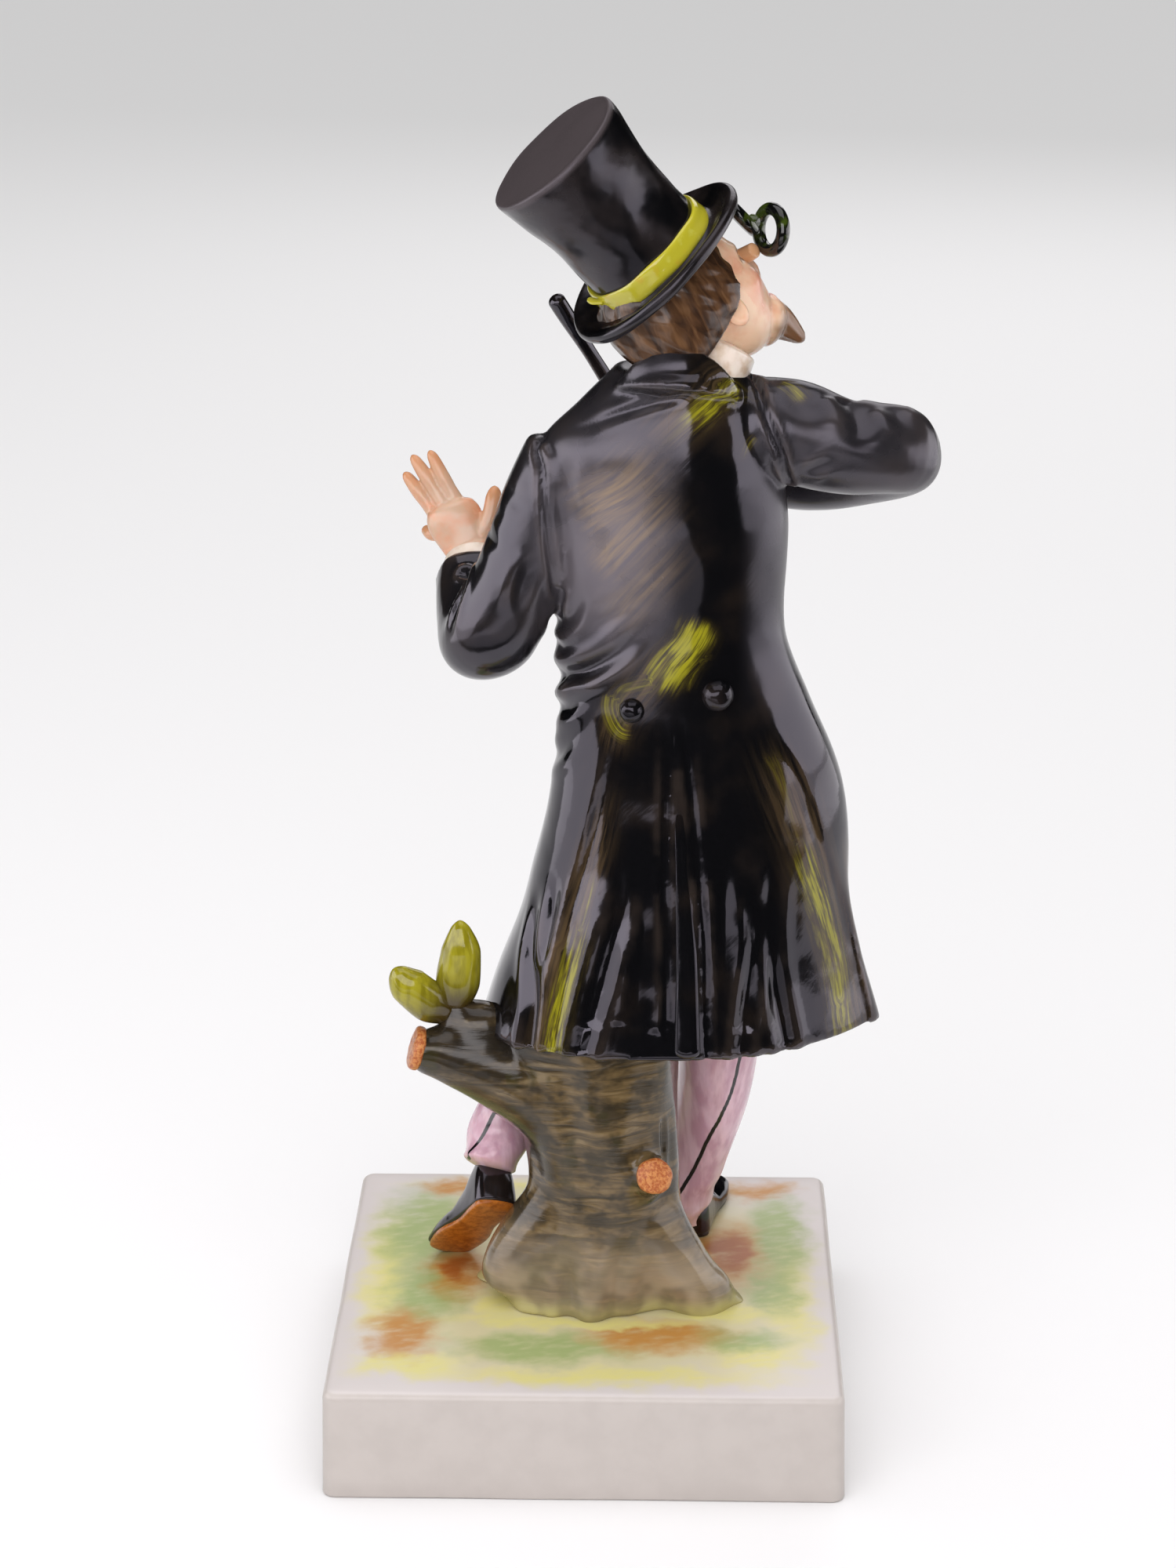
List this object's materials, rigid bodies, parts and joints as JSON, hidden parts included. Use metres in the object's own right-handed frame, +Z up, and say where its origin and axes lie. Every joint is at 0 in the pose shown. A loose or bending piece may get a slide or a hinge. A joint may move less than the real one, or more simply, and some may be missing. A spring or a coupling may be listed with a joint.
{
  "type": "porcelain gentleman figurine",
  "caption": "Glazed porcelain figurine of a gentleman in top hat and frock coat, one hand raised and the other holding a thin stick, leaning on a tree stump on a square plinth",
  "frame": {"origin": "centre of the plinth's underside, on which the figurine stands", "axes": "+Z up, the gentleman's back towards -Y and his chest towards +Y, his left hand towards -X"},
  "size_m": [0.1182, 0.102, 0.2644],
  "materials": {
    "white_glazed_porcelain": "glossy ivory-white glaze, the top brushed with soft green, yellow and orange-brown",
    "painted_glazed_porcelain": "glossy painted glaze: black hat and coat, lilac trousers, brown stump, flesh-coloured face and hands"
  },
  "bodies": {
    "root": {"plinth": "white_glazed_porcelain", "figure": "painted_glazed_porcelain"}
  },
  "joints": []
}
